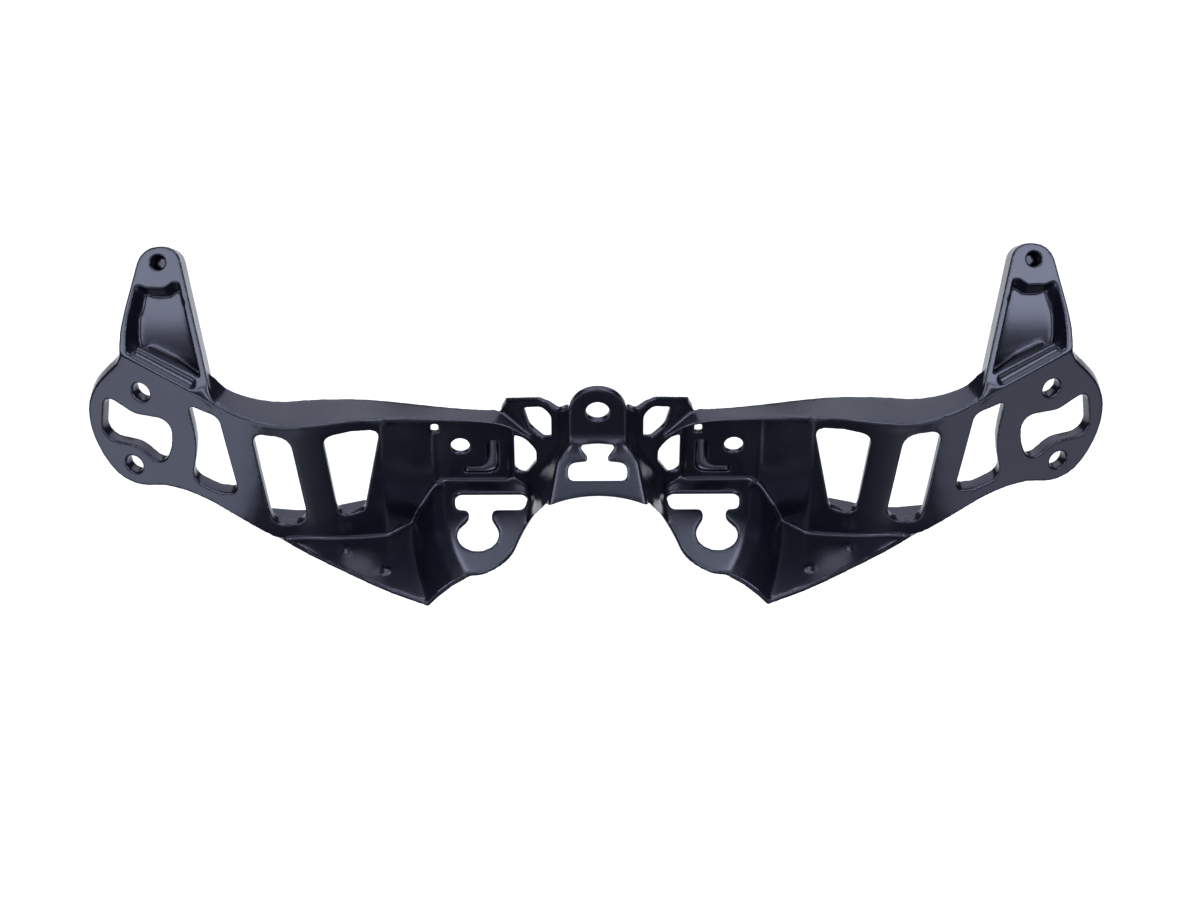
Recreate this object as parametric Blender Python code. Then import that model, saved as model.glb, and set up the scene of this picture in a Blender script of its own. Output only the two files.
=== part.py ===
"""Motorcycle fairing stay: one black painted casting that carries the front
fairing, the mirrors, the screen and the instruments on one central bolt.

The right half is modelled at +X and reflected.  Units in this file are
millimetres until a vertex is made.  X runs across the motorcycle, Y runs back
from the viewer, Z is up, and the origin is the middle of the centre bolt hole
on the front face of its tab.
"""
import math

import bmesh
import bpy
from mathutils import Vector

MM = 0.001

# Centre tab, its bolt hole and the sloping plate below it
TAB_WIDTH = 22.5
TAB_THICK = 3.0
BOLT_HOLE = 9.0
TAB_DROP = 15.2
PLATE_TILT = 45.0
PLATE_LENGTH = 21.0
PLATE_THICK = 3.0
PLATE_TOP_HALF = 15.0
PLATE_FOOT_HALF = 19.8
ARCH_RISE = 3.8
CROSS_SLOT_HALF = 11.4
CROSS_SLOT_NECK = 3.9

BEND_RADIUS = 12.0
EDGE_ROUND = 1.2

# Hat shaped centre: narrow side bands, then wings that run back to the wall
BAND_STEP = 0.8
BAND_RUN = 5.5
BAND_SPREAD = 4.0
WING_END_X = 41.0
WING_END_Y = 25.6
WING_THICK = 2.5

# Recessed back wall, slanted wall and the long bowed arm
WALL_BACK = 19.0
WALL_INNER_X = 32.5
WALL_TURN_X = 36.0
WALL_TURN_SLOPE = 0.6
WALL_CORNER_X = 66.0
ARM_START_X = 85.0
ARM_CREST_X = 108.0
ARM_CREST_Y = 3.0
ARM_BOW = 152.0
ARM_SWEEP = 20.0
WALL_THICK = 2.4
ARM_THICK = 4.0

# Mirror plate at the end of the arm
PLATE_LEAN = 0.23
LEAN_FROM_X = 118.0
LEAN_FULL_X = 152.0
LEAN_LEVEL = -30.0
MIRROR_THICK = 6.0
MIRROR_HOLE = 7.4

# Screen tower
TOWER_ROOT = (158.3, 17.8, -3.1)
TOWER_LEAN = 40.0
TOWER_TURN = 8.0
TOWER_HEIGHT = 57.3
TOWER_TOP_DEPTH = 10.5
TOWER_FOOT_DEPTH = 14.0
TOWER_DRAFT = 2.1
POCKET_TOP_DEPTH = 6.0
POCKET_FOOT_DEPTH = 11.4
POCKET_REACH = 15.0
POCKET_SIDE_DRAFT = 2.2
POCKET_OUTER_DRAFT = 6.6
POCKET_TOP_DRAFT = 8.2
LEDGE_DEPTH = 1.1
SCREEN_HOLE = 6.0
SCREEN_HOLE_DEEP = 8.0
SCREEN_HOLE_OUT = 14.8
SCREEN_HOLE_UP = 51.0

# Top rim, floor, shelf and legs
RIM_THICK = 3.0
RIM_THIN = 1.4
RIM_PROUD = 0.2
FLOOR_LEVEL = -67.4
FLOOR_SLOPE = 0.064
FLOOR_THICK = 2.4
SHELF_LEVEL = -50.5
SHELF_SLOPE = 0.178
SHELF_THICK = 2.0
REAR_EDGE = 25.5
LEG_THICK = 3.0
DIMPLE = 3.4
DIMPLE_HIGH = 0.7

# Openings in the back wall and the keyhole shelves
CABLE_HOLE = 7.6
TAG_SLOT_WIDE = 2.9
TAG_SLOT_HIGH = 4.0
HOOK_SLOT_WIDE = 4.5
HOOK_FOOT_HIGH = 3.4
HOOK_FLOOR_DEEP = 1.6
HOOK_FLOOR_SLOPE = 0.3
HOOK_DROP = 0.5
HOOK_WALL = 2.4
KEY_ROUND = 16.5
KEY_NECK = 9.0
KEY_BAR_HIGH = 8.6
KEY_X = 47.7
KEY_Y = -8.4
HOOK_SIDE = 39.8
HOOK_REACH = 53.9
HOOK_TOP = -29.9
HOOK_FOOT = -46.6
CABLE_HOLE_X = 55.0
CABLE_HOLE_Z = -32.8
TAG_SLOTS = ((-65.0, -23.6), (40.5, -24.1))

PAINT_COLOUR = (0.012, 0.013, 0.018, 1.0)
PAINT_ROUGHNESS = 0.32
PAINT_METALLIC = 0.0

ARC_STEP = math.radians(22.0)
OVERLAP = 1.0
SINK = 0.03


def clear_scene():
    for thing in list(bpy.data.objects):
        bpy.data.objects.remove(thing, do_unlink=True)


def rounded(corners):
    """Closed outline from (x, y, radius) corners, each turned into an arc."""
    outline = []
    count = len(corners)
    for index, (x, y, radius) in enumerate(corners):
        here = Vector((x, y))
        before = Vector(corners[index - 1][:2]) - here
        after = Vector(corners[(index + 1) % count][:2]) - here
        if radius <= 0.0:
            outline.append((x, y))
            continue
        half = before.angle(after) / 2.0
        reach = min(radius / math.tan(half), 0.49 * before.length, 0.49 * after.length)
        radius = reach * math.tan(half)
        centre = here + (before.normalized() + after.normalized()).normalized() * radius / math.sin(half)
        start = here + before.normalized() * reach - centre
        end = here + after.normalized() * reach - centre
        turn = start.angle_signed(end)
        steps = max(1, math.ceil(abs(turn) / ARC_STEP))
        first = math.atan2(start.y, start.x)
        for step in range(steps + 1):
            angle = first - turn * step / steps
            outline.append((centre.x + radius * math.cos(angle), centre.y + radius * math.sin(angle)))
    return outline


def through(points, steps):
    """Smooth open curve through the points, with the given steps between two of them."""
    points = [Vector(point) for point in points]
    ends = [2 * points[0] - points[1]] + points + [2 * points[-1] - points[-2]]
    curve = []
    for a, b, c, d in zip(ends, ends[1:], ends[2:], ends[3:]):
        for step in range(steps):
            t = step / steps
            curve.append(0.5 * (2 * b + (c - a) * t + (2 * a - 5 * b + 4 * c - d) * t ** 2
                                + (3 * b - a - 3 * c + d) * t ** 3))
    return curve + [points[-1]]


def solid(name, rings):
    """Closed object from rings of equal length, skinned and capped."""
    mesh = bmesh.new()
    loops = [[mesh.verts.new(Vector(point) * MM) for point in ring] for ring in rings]
    for lower, upper in zip(loops, loops[1:]):
        for index in range(len(lower)):
            after = (index + 1) % len(lower)
            mesh.faces.new((lower[index], lower[after], upper[after], upper[index]))
    mesh.faces.new(loops[0])
    mesh.faces.new(loops[-1])
    bmesh.ops.recalc_face_normals(mesh, faces=mesh.faces)
    data = bpy.data.meshes.new(name)
    mesh.to_mesh(data)
    mesh.free()
    thing = bpy.data.objects.new(name, data)
    bpy.context.scene.collection.objects.link(thing)
    return thing


def prism(name, outline, place, near, far):
    """Outline in a local plane, carried from one height over it to another."""
    return solid(name, [[place(x, y, height) for x, y in outline] for height in (near, far)])


def combine(body, tool, operation):
    """Boolean of two closed objects, kept in the first one."""
    step = body.modifiers.new("combine", "BOOLEAN")
    step.operation = operation
    step.solver = "EXACT"
    step.object = tool
    graph = bpy.context.evaluated_depsgraph_get()
    result = bpy.data.meshes.new_from_object(body.evaluated_get(graph))
    body.modifiers.clear()
    body.data = result
    bpy.data.objects.remove(tool, do_unlink=True)


def join(body, *tools):
    for tool in tools:
        combine(body, tool, "UNION")


def cut(body, *tools):
    for tool in tools:
        combine(body, tool, "DIFFERENCE")


def along_y(x, z, depth):
    """Elevation seen from the front; depth runs back."""
    return Vector((x, depth, z))


# The long wall seen from above

def arm_front(x):
    """How far back the front face lies at the level LEAN_LEVEL."""
    sweep = math.radians(ARM_SWEEP)
    bow_end = ARM_CREST_X + ARM_BOW * math.sin(sweep)
    if x < WALL_TURN_X:
        return WALL_BACK + WALL_TURN_SLOPE * (WALL_TURN_X - x)
    if x <= WALL_CORNER_X:
        return WALL_BACK
    if x < ARM_START_X:
        share = (x - WALL_CORNER_X) / (ARM_START_X - WALL_CORNER_X)
        return WALL_BACK + share * (arm_front(ARM_START_X) - WALL_BACK)
    if x < bow_end:
        return ARM_CREST_Y + ARM_BOW - math.sqrt(ARM_BOW ** 2 - (x - ARM_CREST_X) ** 2)
    return ARM_CREST_Y + ARM_BOW * (1 - math.cos(sweep)) + (x - bow_end) * math.tan(sweep)


def wall_lean(x):
    """Backward lean of the wall per millimetre of height."""
    share = min(max((x - LEAN_FROM_X) / (LEAN_FULL_X - LEAN_FROM_X), 0.0), 1.0)
    return PLATE_LEAN * share * share * (3 - 2 * share)


def wall_front(x, z):
    return arm_front(x) + wall_lean(x) * (z - LEAN_LEVEL)


def wall_thickness(x):
    if x <= WALL_CORNER_X:
        return WALL_THICK
    if x < LEAN_FROM_X:
        return WALL_THICK + (ARM_THICK - WALL_THICK) * (x - WALL_CORNER_X) / (LEAN_FROM_X - WALL_CORNER_X)
    share = min((x - LEAN_FROM_X) / (LEAN_FULL_X - LEAN_FROM_X), 1.0)
    return ARM_THICK + (MIRROR_THICK - ARM_THICK) * share


def mirror_normal():
    """Outward direction of the flat mirror plate."""
    return Vector((math.tan(math.radians(ARM_SWEEP)), -1.0, PLATE_LEAN)).normalized()


def on_mirror(x, z, height):
    return Vector((x, wall_front(x, z), z)) + mirror_normal() * height


LOBE_EDGE = [(130.5, -66.6), (137.0, -61.2), (144.5, -55.7), (152.5, -51.4), (160.5, -49.0),
             (168.0, -48.0), (175.0, -48.3), (182.3, -50.2), (188.5, -50.3), (194.7, -47.7),
             (200.0, -41.2), (203.4, -33.3), (204.6, -25.9), (203.8, -18.5), (200.4, -11.0),
             (195.0, -4.3), (190.6, 0.6), (188.8, 4.6)]

RIM_FRONT = [(150.6, -6.0), (147.5, -7.3), (142.5, -8.7), (134.0, -9.9), (125.5, -10.0),
             (116.5, -9.1), (104.0, -7.4), (91.0, -6.4)]


def wall_outline():
    """Front view of the wall, from the leg out round the mirror plate and back."""
    foot = [(WALL_INNER_X - 2.0, SHELF_LEVEL - 1.6), (62.0, SHELF_LEVEL - 1.6), (73.0, FLOOR_LEVEL - 1.2),
            (124.0, FLOOR_LEVEL - 1.3)]
    lobe = [tuple(point) for point in through(LOBE_EDGE, 2)]
    top = [(184.9, 5.6), (158.3, -3.1), (152.6, -5.0)]
    rim = [(x, z - OVERLAP) for x, z in through(RIM_FRONT, 2)]
    recess = [(84.0, -8.5), (77.0, -10.5), (65.0, -14.2), (52.0, -16.2), (42.0, -18.1), (35.0, -20.3),
              (WALL_INNER_X - 2.0, -22.5)]
    return foot + lobe + top + rim + recess


def make_wall():
    stations = [WALL_INNER_X, WALL_TURN_X, WALL_CORNER_X, ARM_START_X]
    bow_end = ARM_CREST_X + ARM_BOW * math.sin(math.radians(ARM_SWEEP))
    bow_steps = 18
    stations += [ARM_START_X + (bow_end - ARM_START_X) * step / bow_steps for step in range(1, bow_steps + 1)]
    stations += [212.0]
    high = 12.0
    level_step = 12.0
    levels = [high - level_step * step for step in range(8)]
    rings = []
    for index, x in enumerate(stations):
        before = stations[max(index - 1, 0)]
        after = stations[min(index + 1, len(stations) - 1)]
        tangents = []
        for a, b in ((before, x), (x, after)):
            if b > a:
                tangents.append(Vector((b - a, arm_front(b) - arm_front(a))).normalized())
        tangent = sum(tangents, Vector((0.0, 0.0))).normalized()
        back = Vector((-tangent.y, tangent.x, 0.0)) * wall_thickness(x) / tangent.dot(tangents[0])
        face = [Vector((x, wall_front(x, z), z)) for z in levels]
        rings.append(face + [point + back for point in reversed(face)])
    wall = solid("wall", rings)
    combine(wall, prism("wall_edge", wall_outline(), along_y, -20.0, 60.0), "INTERSECT")
    return wall


WINDOWS = {
    "outer": [(161.4, -10.0, 1.2), (149.4, -12.6, 4.0), (143.4, -44.8, 3.0), (151.5, -45.4, 4.0),
              (162.4, -42.5, 4.5), (158.7, -27.0, 30.0)],
    "middle": [(136.2, -16.2, 4.5), (121.0, -15.8, 5.5), (116.5, -60.8, 6.5), (130.8, -60.2, 6.0)],
    "inner": [(107.8, -15.3, 4.5), (97.0, -12.4, 8.0), (85.3, -12.4, 3.5), (93.6, -53.0, 2.5),
              (104.2, -57.2, 5.0)],
}

HARNESS_HOLE = [(197.2, -13.6, 3.5), (185.0, -19.3, 8.0), (169.4, -18.2, 5.0), (170.0, -30.0, 20.0),
                (174.8, -39.8, 5.0), (184.6, -32.8, 8.0), (200.2, -33.4, 5.5)]

MIRROR_HOLES = [(181.2, -8.8), (187.0, -41.8)]


def circle(x, y, diameter, steps=20):
    radius = diameter / 2.0
    return [(x + radius * math.cos(math.tau * step / steps), y + radius * math.sin(math.tau * step / steps))
            for step in range(steps)]


def cut_wall(wall):
    for name, corners in WINDOWS.items():
        cut(wall, prism(name, rounded(corners), along_y, -15.0, 45.0))
    cut(wall, prism("harness", rounded(HARNESS_HOLE), on_mirror, 8.0, -12.0))
    for x, z in MIRROR_HOLES:
        cut(wall, prism("mirror_hole", circle(x, z, MIRROR_HOLE), on_mirror, 8.0, -12.0))


# Tower for the screen

def tower_axes():
    """Outward, upward and front facing directions of the tower's face."""
    lean = math.radians(TOWER_LEAN)
    turn = math.radians(TOWER_TURN)
    up = Vector((0.0, math.sin(lean), math.cos(lean)))
    face = Vector((math.sin(turn), -math.cos(turn) * math.cos(lean), math.cos(turn) * math.sin(lean)))
    across = up.cross(face).normalized()
    if across.x < 0:
        across = -across
    return across, up, face


def on_tower(out, up, height):
    across, upward, face = tower_axes()
    return Vector(TOWER_ROOT) + across * out + upward * up + face * height


TOWER_EDGE = [(31.0, 14.6, 0.0), (30.5, 24.0, 14.0), (28.6, 32.5, 20.0), (21.6, TOWER_HEIGHT, 9.0),
              (6.9, TOWER_HEIGHT, 7.0), (3.0, 40.5, 30.0), (-2.5, 17.0, 40.0), (-7.5, -5.3, 0.0)]

POCKET_TOP = 38.0
POCKET_FOOT = 8.0
POCKET_EDGE = [(28.6, 16.2, 1.0), (28.6, 22.0, 8.0), (27.7, 29.5, 15.0), (24.3, 43.4, 1.8),
               (20.5, 41.5, 3.0), (12.4, 41.3, 3.0), (9.0, 43.6, 2.5), (6.2, 43.6, 1.2),
               (4.5, 34.8, 20.0), (-2.4, 5.2, 0.6), (24.0, 18.0, 0.5), (27.2, 14.9, 0.4)]

LEDGE_EDGE = [(26.3, 14.4, 0.5), (1.1, 0.9, 0.5), (-0.3, 4.0, 0.5), (23.9, 16.6, 0.5)]


def blend(value, start, end):
    """Share from 0 to 1, eased at both ends."""
    share = min(max((value - start) / (end - start), 0.0), 1.0)
    return share * share * (3 - 2 * share)


def tower_rear(out, up):
    """Point on the rear of the tower, which is thicker and more drafted towards its foot."""
    share = 1 - up / TOWER_HEIGHT
    draft = TOWER_DRAFT * (0.4 + 0.6 * share) * (1 - blend(out, 0.0, 24.0))
    return on_tower(out + draft, up, -(TOWER_TOP_DEPTH + (TOWER_FOOT_DEPTH - TOWER_TOP_DEPTH) * share))


def pocket_depth(up):
    share = min(max((POCKET_TOP - up) / (POCKET_TOP - POCKET_FOOT), 0.0), 1.0)
    return POCKET_TOP_DEPTH + (POCKET_FOOT_DEPTH - POCKET_TOP_DEPTH) * share ** 2


def make_pocket():
    """Pocket with drafted walls and a floor that bends away towards its foot.

    The outer wall slopes most, so the floor is narrower than the mouth.
    """
    edge = rounded(POCKET_EDGE)
    mouth = [on_tower(out, up, OVERLAP) for out, up in edge]
    deep = []
    for out, up in edge:
        inward = POCKET_SIDE_DRAFT - (POCKET_SIDE_DRAFT + POCKET_OUTER_DRAFT) * blend(out, 2.0, 22.0)
        down = POCKET_TOP_DRAFT * blend(up, POCKET_TOP - 2.0, POCKET_TOP + 4.0)
        deep.append(on_tower(out + inward, up - down, -POCKET_REACH))
    pocket = solid("pocket", [mouth, deep])
    steps = 10
    levels = [POCKET_FOOT + (POCKET_TOP - POCKET_FOOT) * step / steps for step in range(steps + 1)]
    side = [(-10.0, 2 * OVERLAP), (-10.0, -POCKET_FOOT_DEPTH)]
    side += [(up, -pocket_depth(up)) for up in levels]
    side += [(TOWER_HEIGHT, -POCKET_TOP_DEPTH), (TOWER_HEIGHT, 2 * OVERLAP)]
    bow = prism("pocket_bow", side, lambda up, height, out: on_tower(out, up, height), -20.0, 45.0)
    combine(pocket, bow, "INTERSECT")
    return pocket


def make_tower():
    outline = rounded(TOWER_EDGE)
    tower = solid("tower", [[on_tower(out, up, 0.0) for out, up in outline],
                            [tower_rear(out, up) for out, up in outline]])
    cut(tower, make_pocket())
    cut(tower, prism("ledge", rounded(LEDGE_EDGE), on_tower, OVERLAP, -LEDGE_DEPTH))
    hole = circle(SCREEN_HOLE_OUT, SCREEN_HOLE_UP, SCREEN_HOLE)
    cut(tower, prism("screen_hole", hole, on_tower, OVERLAP, -SCREEN_HOLE_DEEP))
    return tower


# Rim along the top of the wall

def make_rim():
    front = [(154.4, 17.6, -1.4)] + [(x, wall_front(x, z) - RIM_PROUD, z) for x, z in RIM_FRONT]
    front += [(77.5, 7.0, -8.4), (65.0, 10.5, -11.7), (52.0, 13.5, -14.8), (42.0, 15.2, -17.4),
              (35.0, 15.8, -20.2), (26.0, 12.6, -23.4)]
    rear = [(154.6, 26.0, 2.0), (150.8, 25.6, -2.3), (146.8, 25.0, -7.0), (140.8, 24.0, -9.6),
            (133.0, 22.4, -10.8), (124.3, 21.2, -10.8), (116.4, 20.5, -9.5), (105.0, 20.0, -8.6),
            (92.0, 20.4, -9.2), (79.0, 21.0, -11.2), (66.0, 21.6, -13.6), (53.0, 22.4, -15.8),
            (44.0, 23.4, -17.2), (38.5, 24.2, -18.6), (30.0, 17.6, -22.8)]
    rings = []
    for near, far in zip(through(front, 2), through(rear, 2)):
        thick = RIM_THIN + (RIM_THICK - RIM_THIN) * blend(near.x, 42.0, 85.0)
        steep = blend(near.x, 144.0, 154.0)
        down = Vector((steep * thick, 0.0, -(1 - 0.6 * steep) * thick))
        rings.append([near, far, far + down, near + down])
    return solid("rim", rings)


# Floor, slope and keyhole shelf

def floor_height(y):
    return FLOOR_LEVEL + FLOOR_SLOPE * (y - 5.0)


def shelf_height(y):
    return SHELF_LEVEL - SHELF_SLOPE * (WALL_BACK - y)


def on_floor(x, y, height):
    return Vector((x, y, floor_height(y) + height))


def on_shelf(x, y, height):
    return Vector((x, y, shelf_height(y) + height))


TIP = (67.4, -32.9)
FOLD = [(62.2, REAR_EDGE), (61.8, 10.0), (60.5, -1.5), (56.8, -16.0), (51.4, -28.2)]
CREASE = [(75.5, REAR_EDGE), (75.6, 12.0), (74.2, -4.0), (71.2, -19.0), TIP]
LIP = [TIP, (84.0, -24.9), (101.0, -14.6), (118.0, -3.6), (131.0, 6.2)]
DIMPLES = [(101.8, -4.0), (85.0, -15.5)]


def make_floor():
    corners = [(point.x, point.y, 0.0) for point in through(LIP, 2)]
    corners += [(137.6, 11.6, 3.0), (137.0, 21.2, 3.0), (119.8, 19.1, 20.0), (106.3, 22.2, 20.0),
                (95.2, REAR_EDGE, 8.0), (72.0, REAR_EDGE, 0.0), (72.0, 12.0, 0.0), (71.0, -4.0, 0.0),
                (69.0, -19.0, 0.0)]
    floor = prism("floor", rounded(corners), on_floor, 0.0, -FLOOR_THICK)
    for x, y in DIMPLES:
        rings = []
        for share, height in ((1.0, -OVERLAP), (1.0, 0.0), (0.72, 0.7 * DIMPLE_HIGH), (0.3, DIMPLE_HIGH)):
            rings.append([on_floor(a, b, height) for a, b in circle(x, y, DIMPLE * share, 12)])
        join(floor, solid("dimple", rings))
    return floor


def make_slope():
    rings = []
    for fold, crease in zip(through(FOLD, 3), through(CREASE, 3)):
        top = Vector((fold.x, fold.y, shelf_height(fold.y) - 0.02))
        foot = Vector((crease.x, crease.y, floor_height(crease.y) - 0.02))
        span = foot - top
        soft = top + Vector((span.x * 0.38, span.y * 0.38, span.z * 0.22))
        steep = top + Vector((span.x * 0.74, span.y * 0.74, span.z * 0.58))
        inner = top + Vector((-OVERLAP, 0.0, 0.0))
        outer = foot + Vector((OVERLAP, 0.0, 0.0))
        upper = [inner, top, soft, steep, foot, outer]
        drops = (2.4, 2.4, 2.9, 3.4, 2.8, 2.8)
        lower = [point - Vector((0.0, 0.0, drop)) for point, drop in zip(upper, drops)]
        rings.append(upper + lower[::-1])
    return solid("slope", rings)


SHELF_EDGE = [(51.4, -28.2), (45.5, -27.2), (40.6, -24.6), (36.2, -20.8), (33.3, -16.6),
              (31.5, -11.6), (29.4, -6.2), (27.0, -1.0)]


def make_shelf():
    outline = [tuple(point) for point in through(FOLD, 3)][:-1]
    outline += [tuple(point) for point in through(SHELF_EDGE, 2)]
    outline += [(24.6, 4.0), (24.4, 12.0), (28.0, 18.6), (36.0, REAR_EDGE)]
    return prism("shelf", outline, on_shelf, 0.0, -SHELF_THICK)


def key_outline():
    """Round grommet seat, neck and crosswise bar as one outline."""
    radius = KEY_ROUND / 2.0
    neck = KEY_NECK / 2.0
    neck_x = KEY_X - 0.7
    neck_y = KEY_Y + 7.8
    bar_foot = KEY_Y + 12.2
    bar_top = bar_foot + KEY_BAR_HIGH
    steps = 14
    opening = math.radians(66.0)
    arc = []
    for step in range(steps + 1):
        angle = math.pi / 2 + opening + (math.tau - 2 * opening) * step / steps
        arc.append((KEY_X + radius * math.cos(angle), KEY_Y + radius * math.sin(angle), 0.0))
    outer_side = [(neck_x + neck, neck_y, 3.0), (neck_x + neck, bar_foot, 2.4),
                  (KEY_X + 9.2, bar_foot, 2.6), (KEY_X + 10.0, bar_top, 2.8)]
    inner_side = [(KEY_X - 20.0, bar_top, 2.8), (KEY_X - 18.2, bar_foot, 3.0),
                  (neck_x - neck, bar_foot, 2.4), (neck_x - neck, neck_y, 3.0)]
    return rounded(arc + outer_side + inner_side)


# Centre: tab, sloping plate, wings and legs

def on_plate(x, down, height):
    tilt = math.radians(PLATE_TILT)
    return Vector((x, -down * math.cos(tilt) - height * math.sin(tilt),
                   -TAB_DROP - down * math.sin(tilt) + height * math.cos(tilt)))


def make_tab():
    half = TAB_WIDTH / 2.0
    steps = 16
    arch = [(half * math.cos(math.pi * step / steps), half * math.sin(math.pi * step / steps))
            for step in range(steps + 1)]
    tab = prism("tab", arch + [(-half, -TAB_DROP - 1.0), (half, -TAB_DROP - 1.0)], along_y, 0.0, TAB_THICK)
    cut(tab, prism("bolt_hole", circle(0.0, 0.0, BOLT_HOLE, 28), along_y, -OVERLAP, TAB_THICK + OVERLAP))
    return tab


def make_bend():
    """Soft inside bend between the tab and the sloping plate."""
    tilt = math.radians(PLATE_TILT)
    reach = BEND_RADIUS * math.tan(tilt / 2)
    radius = BEND_RADIUS + SINK
    steps = 6
    side = [(0.5 * TAB_THICK, -TAB_DROP + reach)]
    for step in range(steps + 1):
        angle = tilt * step / steps
        side.append((radius * math.cos(angle) - BEND_RADIUS, -TAB_DROP + reach - radius * math.sin(angle)))
    for down in (reach, 0.0):
        inside = on_plate(0.0, down, -0.5 * PLATE_THICK)
        side.append((inside.y, inside.z))
    half = TAB_WIDTH / 2.0 - 0.1
    return prism("bend", side, lambda y, z, x: Vector((x, y, z)), -half, half)


def make_plate():
    foot = PLATE_LENGTH + ARCH_RISE
    arch_radius = (PLATE_FOOT_HALF ** 2 + ARCH_RISE ** 2) / (2 * ARCH_RISE)
    spread = math.asin(PLATE_FOOT_HALF / arch_radius)
    steps = 10
    arch = []
    for step in range(steps + 1):
        angle = spread - 2 * spread * step / steps
        arch.append((arch_radius * math.sin(angle), foot - ARCH_RISE + arch_radius * (1 - math.cos(angle))))
    sides = [(-16.6, 7.6), (-PLATE_TOP_HALF + 1.2, 3.2), (-TAB_WIDTH / 2 + 0.7, -1.5)]
    outline = arch + sides + [(-x, y) for x, y in reversed(sides)]
    top = [on_plate(x - math.copysign(min(EDGE_ROUND, 0.07 * abs(x)), x), down, 0.0) for x, down in outline]
    lower = [[on_plate(x, down, height) for x, down in outline] for height in (-EDGE_ROUND, -PLATE_THICK)]
    plate = solid("plate", [top] + lower)
    join(plate, make_bend())
    half, neck = CROSS_SLOT_HALF, CROSS_SLOT_NECK
    right = [(7.4, 1.1, 0.7), (neck, 5.6, 1.2), (neck, 7.4, 0.9), (half + 0.3, 8.2, 3.0), (half, 15.0, 1.8)]
    left = [(-x, y, radius) for x, y, radius in reversed(right)]
    cut(plate, prism("cross_slot", rounded([(0.0, 0.4, 0.0)] + right + left), on_plate, 6.0, -9.0))
    return plate


def make_wing():
    half = TAB_WIDTH / 2.0
    path = [(half - 2.5, BAND_STEP), (half + 0.4, BAND_STEP), (half + BAND_SPREAD, BAND_RUN),
            (WING_END_X, WING_END_Y)]
    low, high = -60.0, 8.0
    rings = []
    for index, point in enumerate(path):
        here = Vector(point)
        directions = []
        if index:
            directions.append((here - Vector(path[index - 1])).normalized())
        if index + 1 < len(path):
            directions.append((Vector(path[index + 1]) - here).normalized())
        tangent = sum(directions, Vector((0.0, 0.0))).normalized()
        back = Vector((-tangent.y, tangent.x)) * WING_THICK / tangent.dot(directions[0])
        rings.append([(here.x, here.y, low), (here.x, here.y, high),
                      (here.x + back.x, here.y + back.y, high), (here.x + back.x, here.y + back.y, low)])
    wing = solid("wing", rings)
    outline = [(8.0, 1.5, 0.0), (half + 0.5, 0.6, 0.0), (14.8, -3.8, 1.5), (18.7, -2.9, 2.0),
               (22.8, -3.5, 2.0), (36.3, -12.2, 2.0), (38.4, -17.6, 1.0), (38.0, -20.5, 0.0),
               (34.0, -24.0, 0.0), (34.0, -52.0, 0.0), (28.8, -51.6, 0.0), (13.7, -25.6, 2.0),
               (half, -17.0, 0.0), (8.0, -16.4, 0.0)]
    combine(wing, prism("wing_edge", rounded(outline), along_y, -10.0, 50.0), "INTERSECT")
    return wing


WING_WINDOW = [(29.0, -11.2, 1.0), (21.8, -6.2, 3.0), (18.2, -8.2, 3.0), (18.2, -19.8, 2.0),
               (21.2, -21.8, 2.0), (26.6, -19.4, 3.5)]
CORNER_WINDOW = [(33.2, -28.0, 1.2), (29.0, -26.8, 4.0), (24.4, -30.0, 3.0), (24.4, -36.2, 3.0),
                 (29.0, -46.0, 2.5), (33.2, -46.8, 3.0)]


def make_leg():
    """Side wall from the edge of the sloping plate back to the wing and down to the shelf."""
    front = [on_plate(14.9, 6.0, -1.0), on_plate(19.0, 23.6, -1.0), Vector((22.2, -14.7, -37.6)),
             Vector((25.6, -10.6, -45.4)), Vector((28.6, -6.6, -54.0))]
    middle = [Vector((14.8, 1.0, -21.2)), Vector((19.4, -1.0, -33.0)), Vector((21.8, 1.0, -38.0)),
              Vector((24.6, 4.0, -46.0)), Vector((26.6, 7.0, -53.6))]
    back = [Vector((14.6, 5.9, -22.0)), Vector((19.6, 10.4, -33.0)), Vector((22.4, 13.0, -38.0)),
            Vector((26.4, 16.2, -46.0)), Vector((29.6, 18.6, -53.2))]
    inward = Vector((-LEG_THICK, 0.0, 0.0))
    rings = []
    for near, mid, far in zip(front, middle, back):
        rings.append([near, mid, far, far + inward, mid + inward, near + Vector((-0.8, LEG_THICK, 0.0))])
    return solid("leg", rings)


# Openings in the recessed wall

def hook_outline():
    """Hook shaped slot: an upright bar that turns outwards at its foot."""
    side, top, foot, reach = HOOK_SIDE, HOOK_TOP, HOOK_FOOT, HOOK_REACH
    bar = side + HOOK_SLOT_WIDE
    step = foot + HOOK_FOOT_HIGH
    return rounded([(side, foot, 4.2), (side, top, 1.2), (bar, top, 1.2), (bar, step, 5.5),
                    (reach, step, 0.8), (reach, foot, 0.8)])


def hook_floor(z):
    """The slot's blind floor leans back, deeper towards the top."""
    return WALL_BACK + HOOK_FLOOR_DEEP + HOOK_FLOOR_SLOPE * (z - HOOK_FOOT)


def hook_ring(outline, extra):
    """Outline carried back to the slot's floor, or the given distance behind it."""
    ring = []
    for x, z in outline:
        depth = hook_floor(z) - WALL_BACK + extra
        ring.append((x, WALL_BACK + depth, z - HOOK_DROP * depth))
    return ring


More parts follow.
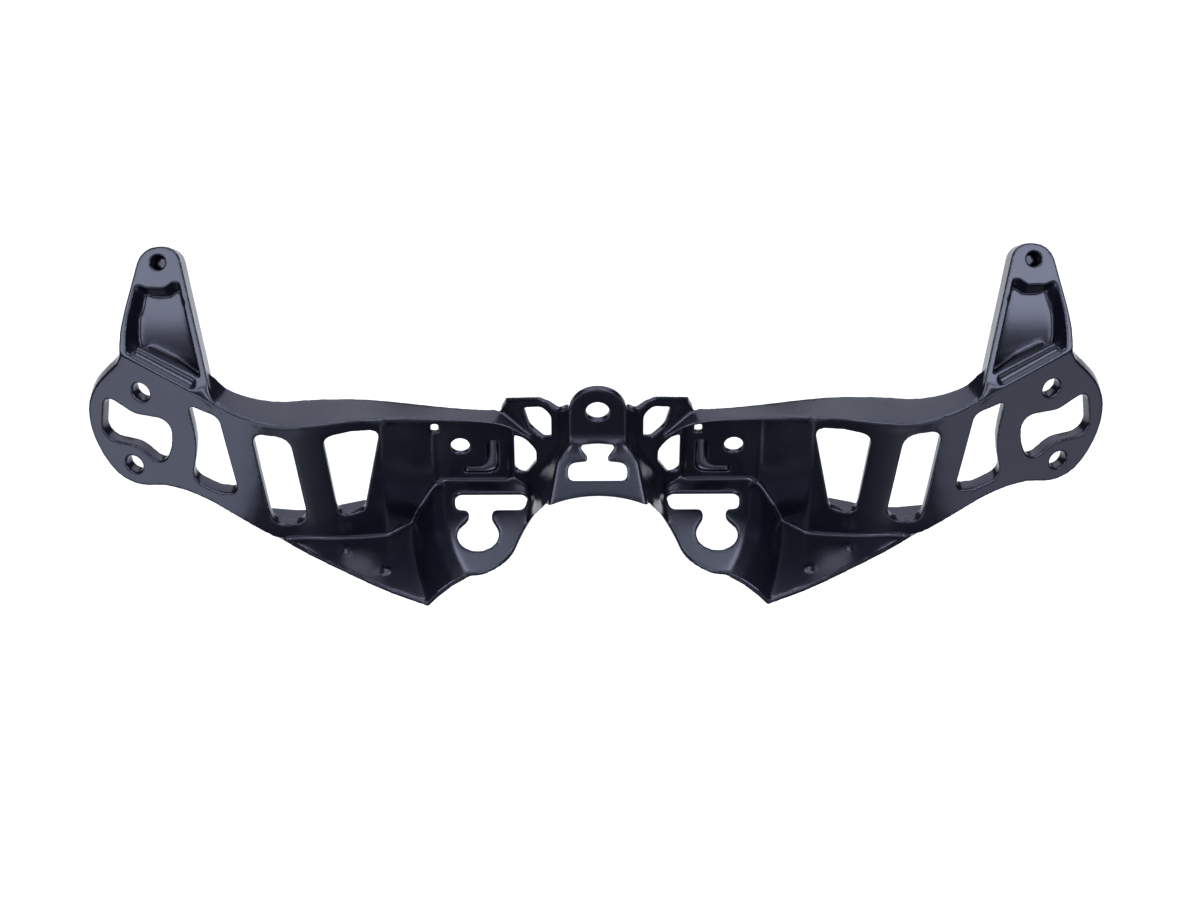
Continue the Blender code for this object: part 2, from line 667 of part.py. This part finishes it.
def make_hook_backing():
    """Boss behind the hook slot, one wall thicker than the slot all round."""
    left, right = HOOK_SIDE - HOOK_WALL, HOOK_REACH + HOOK_WALL
    middle = HOOK_SIDE + HOOK_SLOT_WIDE + HOOK_WALL
    low, high = HOOK_FOOT - HOOK_WALL, HOOK_TOP + HOOK_WALL
    step = HOOK_FOOT + HOOK_FOOT_HIGH + HOOK_WALL
    outline = rounded([(left, low, 0.0), (left, high, 2.0), (middle, high, 2.0), (middle, step, 3.0),
                       (right, step, 1.0), (right, low, 0.0)])
    near = [(x, WALL_BACK + OVERLAP, z) for x, z in outline]
    return solid("hook_backing", [near, hook_ring(outline, HOOK_WALL)])


def make_hook_slot():
    outline = hook_outline()
    near = [(x, WALL_BACK - 3.0, z) for x, z in outline]
    front = [(x, WALL_BACK, z) for x, z in outline]
    return solid("hook_slot", [near, front, hook_ring(outline, 0.0)])


def mirrored(thing):
    """Copy reflected in the middle plane."""
    mesh = bmesh.new()
    mesh.from_mesh(thing.data)
    for vertex in mesh.verts:
        vertex.co.x = -vertex.co.x
    bmesh.ops.reverse_faces(mesh, faces=mesh.faces)
    data = bpy.data.meshes.new(thing.name + "_left")
    mesh.to_mesh(data)
    mesh.free()
    copy = bpy.data.objects.new(thing.name + "_left", data)
    bpy.context.scene.collection.objects.link(copy)
    return copy


def make_half():
    half = make_wall()
    cut_wall(half)
    join(half, make_tower(), make_rim())
    shelf = make_shelf()
    join(shelf, make_slope())
    join(shelf, make_floor())
    cut(shelf, prism("keyhole", key_outline(), on_shelf, 6.0, -9.0))
    join(half, shelf, make_wing(), make_leg(), make_hook_backing())
    cut(half, make_hook_slot())
    cable = circle(CABLE_HOLE_X, CABLE_HOLE_Z, CABLE_HOLE)
    cut(half, prism("cable_hole", cable, along_y, WALL_BACK - 3.0, WALL_BACK + 8.0))
    cut(half, prism("wing_window", rounded(WING_WINDOW), along_y, -5.0, 40.0))
    cut(half, prism("corner_window", rounded(CORNER_WINDOW), along_y, 8.0, 40.0))
    return half


def tag_slot(x, z):
    wide, high = TAG_SLOT_WIDE / 2, TAG_SLOT_HIGH / 2
    corners = [(x - wide, z - high, 0.6), (x + wide, z - high, 0.6), (x + wide, z + high, 0.6),
               (x - wide, z + high, 0.6)]
    return prism("tag_slot", rounded(corners), along_y, WALL_BACK - 3.5, WALL_BACK + 6.0)


def paint(thing):
    finish = bpy.data.materials.new("black_paint")
    finish.use_nodes = True
    shader = finish.node_tree.nodes["Principled BSDF"]
    shader.inputs["Base Color"].default_value = PAINT_COLOUR
    shader.inputs["Roughness"].default_value = PAINT_ROUGHNESS
    shader.inputs["Metallic"].default_value = PAINT_METALLIC
    thing.data.materials.clear()
    thing.data.materials.append(finish)


def main():
    clear_scene()
    stay = make_half()
    join(stay, mirrored(stay))
    join(stay, make_tab(), make_plate())
    cut(stay, *[tag_slot(x, z) for x, z in TAG_SLOTS])
    stay.name = "fairing_stay"
    stay.data.name = "fairing_stay"
    paint(stay)
    stay.data.shade_smooth()
    stay.data.set_sharp_from_angle(angle=math.radians(30.0))


main()
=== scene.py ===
# %% [markdown]
# # A motorcycle fairing stay
# The stay is one black painted casting. It bolts to the steering head by the hole in its
# middle and carries the fairing, the screen, the mirrors and the instruments. The packed
# CAD model is loaded first, as the fixed frame that everything else is fitted to.

# %% Load the frame
import math

import bmesh
import bpy
from mathutils import Matrix, Vector
from mathutils.kdtree import KDTree


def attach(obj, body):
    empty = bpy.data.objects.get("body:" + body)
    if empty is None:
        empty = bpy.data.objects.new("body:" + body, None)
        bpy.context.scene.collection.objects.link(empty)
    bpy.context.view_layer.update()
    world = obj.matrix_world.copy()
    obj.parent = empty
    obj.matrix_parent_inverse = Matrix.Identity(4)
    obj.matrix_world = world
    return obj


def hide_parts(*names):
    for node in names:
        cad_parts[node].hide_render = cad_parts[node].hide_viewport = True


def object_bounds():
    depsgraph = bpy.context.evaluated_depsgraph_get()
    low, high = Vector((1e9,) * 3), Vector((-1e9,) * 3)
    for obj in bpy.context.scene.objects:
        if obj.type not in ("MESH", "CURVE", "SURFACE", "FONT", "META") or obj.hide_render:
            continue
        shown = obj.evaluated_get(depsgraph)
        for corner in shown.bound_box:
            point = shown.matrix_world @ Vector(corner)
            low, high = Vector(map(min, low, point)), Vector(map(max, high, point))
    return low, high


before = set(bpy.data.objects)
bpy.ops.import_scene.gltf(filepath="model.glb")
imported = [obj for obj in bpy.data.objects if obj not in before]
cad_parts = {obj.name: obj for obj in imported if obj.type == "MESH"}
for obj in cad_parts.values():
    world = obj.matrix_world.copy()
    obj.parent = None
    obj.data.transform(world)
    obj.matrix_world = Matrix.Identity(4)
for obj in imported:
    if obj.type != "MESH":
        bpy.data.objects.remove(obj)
cad_low, cad_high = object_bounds()
print("CAD box in millimetres:", [round(size * 1000, 1) for size in cad_high - cad_low])

# %% [markdown]
# ## Millimetres
# Castings are drawn in millimetres and Blender works in metres, so one name converts them.
# Angles are given in degrees, and Blender's radians come from a small function.

# %% Units
MM = 0.001


def degrees(*angles):
    """Angles in degrees as Blender's radians."""
    return tuple(math.radians(angle) for angle in angles)


print("one millimetre in Blender's unit:", MM)

# %% [markdown]
# ## Opening a mesh and writing it back
# The bmesh operators work on an open copy of a mesh, which is written back afterwards. Most
# steps below do that, so both halves of it are written once here. A third helper puts a new
# object in the scene.

# %% Helpers for meshes and objects
def opened(piece):
    """The mesh of a piece, ready for the bmesh operators."""
    mesh = bmesh.new()
    mesh.from_mesh(piece.data)
    return mesh


def closed(mesh, piece):
    """Writes an opened mesh into a piece."""
    mesh.to_mesh(piece.data)
    mesh.free()


def placed(name, data):
    """New object in the scene, at the origin."""
    piece = bpy.data.objects.new(name, data)
    bpy.context.scene.collection.objects.link(piece)
    return piece


# %% [markdown]
# ## The casting
# Molten metal doesn't fill or leave a sharp corner, so every edge of a casting is a little
# round and every inside corner holds a fillet. Bevels on a model that was cut by many
# Booleans break on its sliver faces. A voxel remesh gives the whole skin one even grid of
# small quads, and smoothing that grid rounds all the edges alike, which is what the foundry
# does too.

# %% Copy the CAD mesh and merge it
MERGE_WITHIN = 0.002 * MM


def merged_copy(node, name):
    """Copy of a CAD node whose loose triangles share their corners."""
    piece = placed(name, bpy.data.meshes.new(name))
    mesh = opened(node)
    bmesh.ops.remove_doubles(mesh, verts=mesh.verts, dist=MERGE_WITHIN)
    closed(mesh, piece)
    return piece


stay_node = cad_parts["fairing_stay"]
casting = merged_copy(stay_node, "stay_casting")
print("merged corners:", len(casting.data.vertices))

# %% [markdown]
# ## Where the corners are
# Only some edges of the CAD mesh are real corners. The others are the joints between the
# facets of a curve, or between two triangles of one flat face. An edge counts as a corner if
# its faces turn by more than 38 degrees. The sign of that turn tells an outside corner from
# an inside one. Points strung along the edges of each kind go into a search tree, which
# tells how far any point of the skin is from the nearest corner.

# %% Search trees of the outside and inside corners
CORNER_TURN = math.radians(38.0)
STRING_STEP = 0.4 * MM


def corner_tree(mesh, outside):
    """Search tree of points strung along the corners of one kind."""
    strung = []
    for edge in mesh.edges:
        if len(edge.link_faces) != 2 or edge.calc_face_angle() < CORNER_TURN:
            continue
        if (edge.calc_face_angle_signed() > 0.0) != outside:
            continue
        first, last = (vertex.co for vertex in edge.verts)
        steps = max(1, round((last - first).length / STRING_STEP))
        strung += [first.lerp(last, step / steps) for step in range(steps + 1)]
    tree = KDTree(len(strung))
    for index, point in enumerate(strung):
        tree.insert(point, index)
    tree.balance()
    print("points on", "outside" if outside else "inside", "corners:", len(strung))
    return tree


drawn = opened(casting)
drawn.normal_update()
outside_corners = corner_tree(drawn, True)
inside_corners = corner_tree(drawn, False)
drawn.free()

# %% [markdown]
# ## One even skin
# The voxel is a seventh of the wall, small enough to keep the lip of the rim and the tag
# slots. A coarser one would leave visible steps where an edge runs at a slant through it.

# %% Remesh
VOXEL = 0.34 * MM


def apply_modifiers(piece):
    """The piece keeps the mesh that its modifiers make."""
    graph = bpy.context.evaluated_depsgraph_get()
    piece.data = bpy.data.meshes.new_from_object(piece.evaluated_get(graph))
    piece.modifiers.clear()


remesh = casting.modifiers.new("skin", "REMESH")
remesh.mode = "VOXEL"
remesh.voxel_size = VOXEL
apply_modifiers(casting)
print("skin corners:", len(casting.data.vertices))

# %% [markdown]
# ## Rounds, fillets and fair curves
# Smoothing moves each point towards the middle of its neighbours. A few passes over the
# whole skin round the outside corners a little. Inside corners get many more, which fills
# them with a fillet, as the foundry does to let the metal flow. The open stretches in between
# get the most: a flat face stays flat, and the facets of a bend melt into one curve.

# %% Round the corners and smooth the open stretches
FILLET_REACH = 1.5 * MM
ROUND_REACH = 0.9 * MM
FILLET_PASSES = 26
ROUND_PASSES = 12
OPEN_PASSES = 40
SMOOTH_SHARE = 0.5


def smooth(mesh, verts, passes):
    """Moves some points part of the way to the middle of their neighbours, many times."""
    for _ in range(passes):
        bmesh.ops.smooth_vert(mesh, verts=verts, factor=SMOOTH_SHARE,
                              use_axis_x=True, use_axis_y=True, use_axis_z=True)


skin = opened(casting)
in_fillets = []
in_the_open = []
for vertex in skin.verts:
    if inside_corners.find(vertex.co)[2] < FILLET_REACH:
        in_fillets.append(vertex)
    elif outside_corners.find(vertex.co)[2] > ROUND_REACH:
        in_the_open.append(vertex)
smooth(skin, in_fillets, FILLET_PASSES)
smooth(skin, skin.verts, ROUND_PASSES)
smooth(skin, in_the_open, OPEN_PASSES)
print("in fillets:", len(in_fillets), "in the open:", len(in_the_open), "of", len(skin.verts))
closed(skin, casting)

# %% [markdown]
# ## Fewer faces
# The even skin has as many faces on a flat stretch as on a tight round. Decimate takes out
# the edges that change the shape least, so it thins the flat stretches first.

# %% Thin the skin out where it is flat
MOST_TRIANGLES = 190000


def triangle_count(piece):
    """How many triangles the faces of a piece make."""
    return sum(len(face.vertices) - 2 for face in piece.data.polygons)


triangles = triangle_count(casting)
if triangles > MOST_TRIANGLES:
    thin = casting.modifiers.new("thin", "DECIMATE")
    thin.ratio = MOST_TRIANGLES / triangles
    apply_modifiers(casting)
print("triangles before and after:", triangles, triangle_count(casting))

# %% [markdown]
# ## Specks
# Thinning can pinch off a speck of a few faces at a thin tip. Walking from point to point
# along the edges finds every island of the mesh, and the small ones are deleted.

# %% Drop the specks
LEAST_ISLAND = 100


def islands(mesh):
    """The points of each connected part of a mesh."""
    left = set(mesh.verts)
    while left:
        reached = {left.pop()}
        front = list(reached)
        while front:
            near = {edge.other_vert(vertex) for vertex in front for edge in vertex.link_edges}
            front = list(near - reached)
            reached |= near
        left -= reached
        yield reached


skin = opened(casting)
specks = [vertex for island in islands(skin) if len(island) < LEAST_ISLAND for vertex in island]
bmesh.ops.delete(skin, geom=specks, context="VERTS")
print("speck points:", len(specks))
closed(skin, casting)
casting.data.shade_smooth()

# %% [markdown]
# ## Domes on the floors
# Each of the two floors carries two low domes. Smoothing has flattened them, so the upper
# side of the floor is raised again round their middles, in the shape of one cosine wave.

# %% Raise the domes
DOMES = [(101.8, -4.0), (85.0, -15.5)]
DOME_REACH = 3.4 * MM
DOME_RISE = 0.6 * MM
FLOORS_BELOW = -55.0 * MM
FACES_UP = 0.5

skin = opened(casting)
skin.normal_update()
raised = 0
for vertex in skin.verts:
    if vertex.co.z > FLOORS_BELOW or vertex.normal.z < FACES_UP:
        continue
    for x, y in DOMES:
        away = math.hypot(abs(vertex.co.x) - x * MM, vertex.co.y - y * MM) / DOME_REACH
        if away < 1.0:
            vertex.co.z += DOME_RISE * (1.0 + math.cos(math.pi * away)) / 2.0
            raised += 1
closed(skin, casting)
print("points raised:", raised)

# %% [markdown]
# ## Shader sums as Python
# A material is a small calculation on each point of the surface. This class lets it be
# written as one, with +, - and * on the sockets of nodes.

# %% Sockets that can be added and multiplied
class Value:
    """One output socket, with sums that add Math nodes."""

    def __init__(self, tree, socket):
        self.tree = tree
        self.socket = socket

    def sum(self, operation, other, swap=False):
        node = self.tree.nodes.new("ShaderNodeMath")
        node.operation = operation
        pair = (other, self) if swap else (self, other)
        for slot, term in zip(node.inputs, pair):
            if isinstance(term, Value):
                self.tree.links.new(term.socket, slot)
            else:
                slot.default_value = term
        return Value(self.tree, node.outputs[0])

    def __add__(self, other):
        return self.sum("ADD", other)

    def __radd__(self, other):
        return self.sum("ADD", other, swap=True)

    def __sub__(self, other):
        return self.sum("SUBTRACT", other)

    def __rsub__(self, other):
        return self.sum("SUBTRACT", other, swap=True)

    def __mul__(self, other):
        return self.sum("MULTIPLY", other)

    def __rmul__(self, other):
        return self.sum("MULTIPLY", other, swap=True)


class Finish:
    """A material under construction."""

    def __init__(self, name):
        self.material = bpy.data.materials.new(name)
        self.material.use_nodes = True
        self.tree = self.material.node_tree
        self.tree.nodes.clear()

    def node(self, kind, settings=None, output=0, **values):
        """Adds a node: settings are set first, then the values or links of its sockets."""
        made = self.tree.nodes.new(kind)
        for setting, value in (settings or {}).items():
            setattr(made, setting, value)
        for socket, value in values.items():
            self.feed(made.inputs[socket.replace("_", " ")], value)
        return Value(self.tree, made.outputs[output])

    def feed(self, slot, value):
        if isinstance(value, Value):
            self.tree.links.new(value.socket, slot)
        else:
            slot.default_value = value

    def end(self, surface):
        output = self.tree.nodes.new("ShaderNodeOutputMaterial")
        self.tree.links.new(surface.socket, output.inputs["Surface"])
        return self.material


# %% [markdown]
# ## Black paint on a casting
# The paint is a satin black with a trace of blue, sprayed over metal that still has the faint
# unevenness of its mould. Two things give it away: a shallow orange peel about a millimetre
# wide, and a gloss that isn't quite the same everywhere. A noise texture of each size makes
# them both. What shines off the paint is a little bluer than the lamp, which the specular
# tint does.

# %% The paint
PAINT = (0.0017, 0.0021, 0.0047, 1.0)
PAINT_THIN = (0.0026, 0.0030, 0.0062, 1.0)
SHEEN_TINT = (0.79, 0.83, 1.0, 1.0)
PEEL_SIZE = 1.3 * MM
MOULD_SIZE = 9.0 * MM
PEEL_SHARE = 0.35
MOULD_SHARE = 0.65
BUMP_STRENGTH = 0.10
BUMP_DEPTH = 0.05 * MM
LEAST_ROUGH = 0.21
ROUGH_BY_MOULD = 0.06
ROUGH_BY_PEEL = 0.02
SHEEN = 0.58
MIX_FACTOR, MIX_FIRST, MIX_SECOND, MIX_RESULT = 0, 6, 7, 2

paint = Finish("black_paint")
place = paint.node("ShaderNodeTexCoord", output="Object")
peel = paint.node("ShaderNodeTexNoise", {"noise_dimensions": "3D"}, output="Fac",
                  Vector=place, Scale=1 / PEEL_SIZE, Detail=2.0, Roughness=0.5)
mould = paint.node("ShaderNodeTexNoise", {"noise_dimensions": "3D"}, output="Fac",
                   Vector=place, Scale=1 / MOULD_SIZE, Detail=3.0, Roughness=0.55)
colour = paint.node("ShaderNodeMix", {"data_type": "RGBA"}, output=MIX_RESULT)
for slot, value in ((MIX_FACTOR, mould), (MIX_FIRST, PAINT), (MIX_SECOND, PAINT_THIN)):
    paint.feed(colour.socket.node.inputs[slot], value)
height = peel * PEEL_SHARE + mould * MOULD_SHARE
bumps = paint.node("ShaderNodeBump", Strength=BUMP_STRENGTH, Distance=BUMP_DEPTH, Height=height)
rough = LEAST_ROUGH + mould * ROUGH_BY_MOULD + peel * ROUGH_BY_PEEL
shader = paint.node("ShaderNodeBsdfPrincipled", Base_Color=colour, Roughness=rough, Normal=bumps,
                    Metallic=0.0, Specular_IOR_Level=SHEEN, Specular_Tint=SHEEN_TINT)
casting.data.materials.clear()
casting.data.materials.append(paint.end(shader))
print("paint nodes:", len(paint.tree.nodes))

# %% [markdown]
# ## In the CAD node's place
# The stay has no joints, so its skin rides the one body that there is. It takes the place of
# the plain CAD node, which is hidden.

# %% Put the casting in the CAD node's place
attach(casting, "root")
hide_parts("fairing_stay")
print("the skin stands for:", stay_node.name)

# %% [markdown]
# ## The pale sheet
# The stay hangs over a pale sheet, which fills the picture because the camera looks down. It
# starts behind the stay. The room in front of it is dark, and that is what keeps the upright
# walls of the stay black.

# %% The sheet
FLOOR_DROP = 500.0 * MM
SHEET_FRONT = 0.12
SHEET_BACK = 3.0
SHEET_HALF = 2.0

floor_level = cad_low.z - FLOOR_DROP
sheet = placed("sheet", bpy.data.meshes.new("sheet"))
flat = bmesh.new()
flat.faces.new([flat.verts.new((x, y, floor_level))
                for x, y in ((-SHEET_HALF, SHEET_FRONT), (SHEET_HALF, SHEET_FRONT),
                             (SHEET_HALF, SHEET_BACK), (-SHEET_HALF, SHEET_BACK))])
closed(flat, sheet)
print("the sheet lies at", round(floor_level, 3), "metres")

# %% [markdown]
# ## White without more light
# A sheet lit until it is white would drown the black stay in light. This one is part grey
# paint, which takes the shadow, and part glow. The glow is only there for rays from the
# camera and for those that a shiny or clear surface sends on. It shows as a background and
# in reflections, and puts no light on a matt surface.

# %% The sheet's finish
SHEET_GREY = (0.35, 0.35, 0.35, 1.0)
SHEET_TINT = (0.92, 0.95, 1.0, 1.0)
SHEET_GLOW = 0.93

white = Finish("white_sheet")
rays = white.node("ShaderNodeLightPath", output="Is Camera Ray")
seen = rays
for ray in ("Is Glossy Ray", "Is Transmission Ray"):
    seen = seen.sum("MAXIMUM", Value(white.tree, rays.socket.node.outputs[ray]))
matt = white.node("ShaderNodeBsdfDiffuse", Color=SHEET_GREY)
glow = white.node("ShaderNodeEmission", Color=SHEET_TINT, Strength=seen * SHEET_GLOW)
both = white.node("ShaderNodeAddShader")
for slot, part in zip(both.socket.node.inputs, (matt, glow)):
    white.feed(slot, part)
sheet.data.materials.append(white.end(both))
print("sheet nodes:", len(white.tree.nodes))

# %% [markdown]
# ## A dim room
# A faint bluish light from all round keeps the deepest corners from going quite black.

# %% World
WORLD_COLOUR = (0.85, 0.88, 1.0, 1.0)
WORLD_LIGHT = 0.08

world = bpy.data.worlds.new("studio")
world.use_nodes = True
bpy.context.scene.world = world
sky = world.node_tree.nodes["Background"]
sky.inputs["Color"].default_value = WORLD_COLOUR
sky.inputs["Strength"].default_value = WORLD_LIGHT
print("light of the room:", WORLD_LIGHT)

# %% [markdown]
# ## Soft light
# Black paint shows little of its own colour. What the eye sees is the lamps in it, so they
# are wide panels, each placed where a face of the stay reflects it into the camera. The
# upper and inner ones at the sides show in the screen towers, and the lower ones in the
# mirror plates and arms. Those in front show in the tab, the hook-shaped slots and the
# leaning plate, and those behind and above in the rim and the shelves.

# %% Panels
LAMP_COLOUR = (0.86, 0.88, 1.0)


def panel(name, azimuth, elevation, distance, wide, high, brightness):
    """Rectangular lamp that faces the stay; azimuth 0 is in front of it, 90 to its right.

    The brightness of its face is given as a multiple of white paper's.
    """
    lamp = bpy.data.lights.new(name, "AREA")
    lamp.shape = "RECTANGLE"
    lamp.size, lamp.size_y = wide, high
    lamp.energy = brightness * math.pi * wide * high
    lamp.color = LAMP_COLOUR
    a, e = degrees(azimuth, elevation)
    outward = Vector((math.sin(a) * math.cos(e), -math.cos(a) * math.cos(e), math.sin(e)))
    body = placed(name, lamp)
    body.location = outward * distance
    body.rotation_euler = (-outward).to_track_quat("-Z", "Y").to_euler()


# name, azimuth, elevation, distance, width, height and brightness
PANELS = (
    ("left_upper", -39.0, 38.0, 1.6, 1.04, 0.86, 5.8),
    ("right_upper", 39.0, 38.0, 1.6, 1.04, 0.86, 6.8),
    ("left_inner", -21.0, 20.0, 1.6, 0.42, 0.40, 3.4),
    ("right_inner", 21.0, 20.0, 1.6, 0.42, 0.40, 3.4),
    ("left_lower", -42.0, -18.0, 1.3, 1.15, 0.52, 2.6),
    ("right_lower", 42.0, -18.0, 1.3, 1.15, 0.52, 1.4),
    ("left_under", -38.0, -46.0, 1.3, 0.50, 0.30, 1.2),
    ("right_under", 38.0, -46.0, 1.3, 0.50, 0.30, 1.0),
    ("front_low", 0.0, -16.0, 1.3, 0.70, 0.46, 0.5),
    ("front_level", 0.0, -5.0, 1.3, 0.36, 0.24, 3.2),
    ("front_high", 0.0, 54.0, 1.6, 0.60, 0.35, 1.6),
    ("back_low", 180.0, 36.0, 1.6, 2.10, 1.30, 1.5),
    ("back_high", 180.0, 66.0, 1.4, 1.10, 0.50, 1.6),
    ("back_left", -138.0, 62.0, 1.4, 0.50, 0.50, 5.0),
    ("back_right", 138.0, 62.0, 1.4, 0.50, 0.50, 5.0),
    ("top", 0.0, 86.0, 1.4, 0.90, 0.70, 2.8),
)
for row in PANELS:
    panel(*row)
print("lamps:", len(bpy.data.lights))

# %% [markdown]
# ## Camera
# A long lens from 0.9 metres away, 40 degrees above the horizon and a hair to one side. The
# two slides move the camera across its view, so that the stay sits where it should in the
# picture. The Standard view transform shows colours as they are written.

# %% Camera
LENS = 70.13
SENSOR = 36.0
DISTANCE = 904.5 * MM
CAMERA_RISE = 40.0
CAMERA_YAW = -0.651
CAMERA_ROLL = -0.1485
SLIDE_RIGHT = -0.934 * MM
SLIDE_UP = 14.656 * MM

rise, yaw, roll = degrees(CAMERA_RISE, CAMERA_YAW, CAMERA_ROLL)
turn = Matrix.Rotation(yaw, 3, "Z")
ahead = turn @ Vector((0.0, math.cos(rise), -math.sin(rise)))
level_up = turn @ Vector((0.0, math.sin(rise), math.cos(rise)))
level_right = turn @ Vector((1.0, 0.0, 0.0))
right = level_right * math.cos(roll) - level_up * math.sin(roll)
up = level_up * math.cos(roll) + level_right * math.sin(roll)
seat = -ahead * DISTANCE - right * SLIDE_RIGHT - up * SLIDE_UP
camera_data = bpy.data.cameras.new("camera")
camera_data.lens = LENS
camera_data.sensor_width = SENSOR
camera = placed("camera", camera_data)
pose = Matrix((right, up, -ahead)).transposed().to_4x4()
pose.translation = seat
camera.matrix_world = pose
bpy.context.scene.camera = camera
bpy.context.scene.view_settings.view_transform = "Standard"
print("camera at", [round(value, 3) for value in seat])
